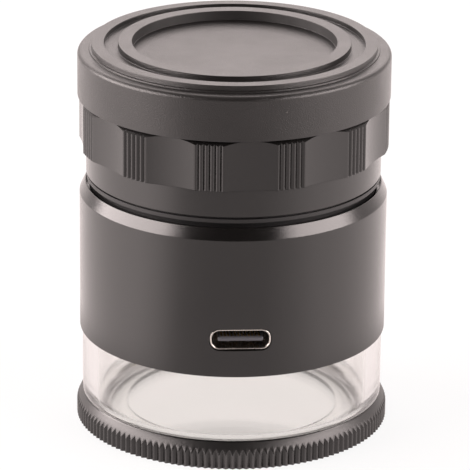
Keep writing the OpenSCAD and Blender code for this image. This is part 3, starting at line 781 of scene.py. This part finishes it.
# the pieces inside keep their CAD shapes and get their finishes here
screwFinish = brushedSteel("screwSteel", (0.6, 0.6, 0.61), rough=0.3, stretch=(1, 1, 6), brushMm=0.3)
carried = {
    "chassis": plainMoulding("chassisMoulding", (0.03, 0.03, 0.031), rough=0.5),
    "chassis_screws": screwFinish,
    "board_screws": screwFinish,
    "main_board": solderMask("circuitBoard"),
    "leds": plainMoulding("lampPhosphor", (0.85, 0.72, 0.3), rough=0.3, grainMm=0.3,
                          grainDeepMm=0.02),
    "charge_chip": plainMoulding("blackMoulding", (0.02, 0.02, 0.021), rough=0.42),
    "capacitors": plainMoulding("capacitorTan", (0.42, 0.3, 0.17), rough=0.45),
    "usb_contacts": brushedSteel("giltContact", (0.85, 0.62, 0.26), rough=0.2, stretch=(8, 1, 8),
                                 brushMm=0.3),
    "side_switch": brushedSteel("switchSteel", (0.68, 0.68, 0.67), rough=0.28),
    "switch_plunger": plainMoulding("whiteMoulding", (0.78, 0.76, 0.72), rough=0.4),
    "battery": batteryPouch("batteryFoil"),
    "battery_pad": plainMoulding("greyFoam", (0.1, 0.1, 0.1), rough=0.85, grainMm=0.35,
                                 grainDeepMm=0.1),
    "battery_leads": wirePair("wirePair", "battery_leads"),
    "drag_ring": plainMoulding("blackRubber", (0.012, 0.012, 0.012), rough=0.32, grainMm=0.4)}
for node in ("lens_cell", "lens_spacer", "lens_retainer", "cell_lock_ring"):
    carried[node] = innerBlack
for node in ("field_lens_hollow", "field_lens_full", "eye_lens_full", "eye_lens_hollow"):
    carried[node] = glassFinish
for node, finish in carried.items():
    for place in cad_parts[node].material_slots:
        place.material = finish
print("finishes set on", len(carried), "carried nodes")

# camera at the photo's place, fitted to the rings' ellipses
view = {"awayMm": 581.7, "upMm": 240.6, "azimuthDeg": -3.2, "aimDeg": -0.032, "pitchDeg": 20.054,
        "rollDeg": 0.55, "focalPixels": 4117, "framePixels": 470, "sensorMm": 36, "clipStart": 0.01}


def makeCamera():
    lens = bpy.data.cameras.new("photoCamera")
    lens.sensor_width = view["sensorMm"]
    lens.lens = view["focalPixels"] * view["sensorMm"] / view["framePixels"]
    lens.clip_start = view["clipStart"]
    camera = bpy.data.objects.new("photoCamera", lens)
    bpy.context.scene.collection.objects.link(camera)
    azimuth, away = math.radians(view["azimuthDeg"]), view["awayMm"]
    where = Vector((away * math.sin(azimuth), -away * math.cos(azimuth), view["upMm"])) * mm
    look = (Matrix.Rotation(azimuth + math.radians(view["aimDeg"]), 4, "Z")
            @ Matrix.Rotation(math.radians(90 - view["pitchDeg"]), 4, "X")
            @ Matrix.Rotation(math.radians(view["rollDeg"]), 4, "Z"))
    camera.matrix_world = Matrix.Translation(where) @ look
    bpy.context.scene.camera = camera


makeCamera()

# studio: wide panels at the sides, one behind, a dark room in front and a pale floor
studio = {"aimUpMm": 30, "warm": (1.0, 0.89, 0.87), "through": (0.954, 0.866, 0.852), "bounces": 32,
          "roomSpan": (-0.4, 0.5), "roomFront": 0.03, "roomBack": 1.0,
          "floorSize": 3.0, "floorTone": 0.8, "floorGlow": 0.85, "poolPeak": 2.4,
          "closeMm": (30, 36), "ringPool": 0.44, "openMm": (50, 58), "footPool": 0.4,
          "floorPools": ((0.0, 0.6), (0.1, 0.66), (0.18, 0.74), (0.25, 0.86), (0.31, 0.97),
                         (0.35, 0.82), (0.395, 0.42), (0.45, 0.35), (0.55, 0.36), (0.6, 0.48),
                         (0.65, 0.66), (0.75, 0.7), (0.88, 0.7), (1.0, 0.6))}
softBoxes = {  # lengths in metres
    "leftBox": {"turnDeg": -83, "upDeg": 20, "away": 0.9,
                "wide": 1.2, "tall": 0.52, "radiance": 9.4},
    "rightBox": {"turnDeg": 70.5, "upDeg": 20, "away": 0.9,
                 "wide": 0.87, "tall": 0.52, "radiance": 8.2},
    "backPanel": {"turnDeg": 180, "upDeg": 34, "away": 1.2,
                  "wide": 1.6, "tall": 0.8, "radiance": 2.1}}


def makeLamps():
    middle = Vector((0, 0, studio["aimUpMm"] * mm))
    for name, box in softBoxes.items():
        lamp = bpy.data.lights.new(name, "AREA")
        lamp.shape = "RECTANGLE"
        lamp.color = studio["warm"]
        lamp.size, lamp.size_y = box["wide"], box["tall"]
        lamp.energy = box["radiance"] * math.pi * box["wide"] * box["tall"]
        holder = bpy.data.objects.new(name, lamp)
        bpy.context.scene.collection.objects.link(holder)
        turn = math.radians(view["azimuthDeg"] - 90 + box["turnDeg"])
        rise = math.radians(box["upDeg"])
        flat = math.cos(rise)
        way = Vector((math.cos(turn) * flat, math.sin(turn) * flat, math.sin(rise)))
        spot = Matrix.Translation(middle + way * box["away"])
        holder.matrix_world = spot @ way.to_track_quat("Z", "Y").to_matrix().to_4x4()
        holder.visible_camera = False
        holder.visible_transmission = False


def makeRoom():
    world = bpy.data.worlds.new("studio")
    bpy.context.scene.world = world
    room = Finish("studio", world)
    direct, through = room.rays("Is Camera Ray", "Is Transmission Ray")
    way = room.add("ShaderNodeTexCoord", output="Generated")
    depth = room.add("ShaderNodeSeparateXYZ", None, {0: way}, output="Y")
    tone = room.between(depth, *studio["roomSpan"], studio["roomFront"], studio["roomBack"])
    shade = room.blend(through, room.blend(tone, (0, 0, 0), studio["warm"]), studio["through"])
    shade = room.blend(direct, shade, (1, 1, 1))
    room.close(room.add("ShaderNodeBackground", None, {"Color": shade, "Strength": 1.0}))


def makeFloor():
    pale = Finish("paleFloor")
    direct, mirrored, through = pale.rays("Is Camera Ray", "Is Glossy Ray", "Is Transmission Ray")
    tone = studio["floorTone"]
    lit = pale.add("ShaderNodeBsdfDiffuse", None, {"Color": (tone, tone, tone)})
    white = pale.blend(through, (1, 1, 1), studio["through"])
    glow = pale.add("ShaderNodeEmission", None, {"Color": white})
    seen = direct.orMore(through) * studio["floorGlow"]
    plain = pale.add("ShaderNodeMixShader", None, {0: seen, 1: lit, 2: glow})
    # reflections see a painted glow on the floor, brighter at the sides than in front, and even close
    # by, where a level lower than at the sides stands in for the object's own shade on the floor
    across, along = pale.axis("X"), pale.axis("Y")
    turn = across.maths("ARCTAN2", across, along * -1)
    around = pale.add("ShaderNodeValToRGB", {"stops": studio["floorPools"]},
                      {0: turn * (1 / tau) + 0.5})
    square = across * across + along * along
    away = square.maths("POWER", square, 0.5)
    pastRing, pastFoot = (pale.between(away, low * mm, high * mm)
                          for low, high in (studio["closeMm"], studio["openMm"]))
    pool = ((1 - pastRing) * studio["ringPool"] + (pastRing - pastFoot) * studio["footPool"]
            + pastFoot * around)
    tint = pale.blend(pool, (0, 0, 0), studio["warm"])
    pools = pale.add("ShaderNodeEmission", None, {"Color": tint, "Strength": studio["poolPeak"]})
    mixed = pale.add("ShaderNodeMixShader", None, {0: mirrored > through, 1: plain, 2: pools})
    bm = bmesh.new()
    bmesh.ops.create_grid(bm, x_segments=1, y_segments=1, size=studio["floorSize"])
    mesh = settle(bm)
    mesh.materials.append(pale.close(mixed))
    floor = bpy.data.objects.new("floor", mesh)
    bpy.context.scene.collection.objects.link(floor)


makeLamps()
makeRoom()
makeFloor()
bpy.context.scene.view_settings.view_transform = "Standard"
# light that is caught in the clear foot needs more bounces than usual
for limit in ("max_bounces", "glossy_bounces", "transmission_bounces"):
    setattr(bpy.context.scene.cycles, limit, studio["bounces"])
print("camera and studio set")
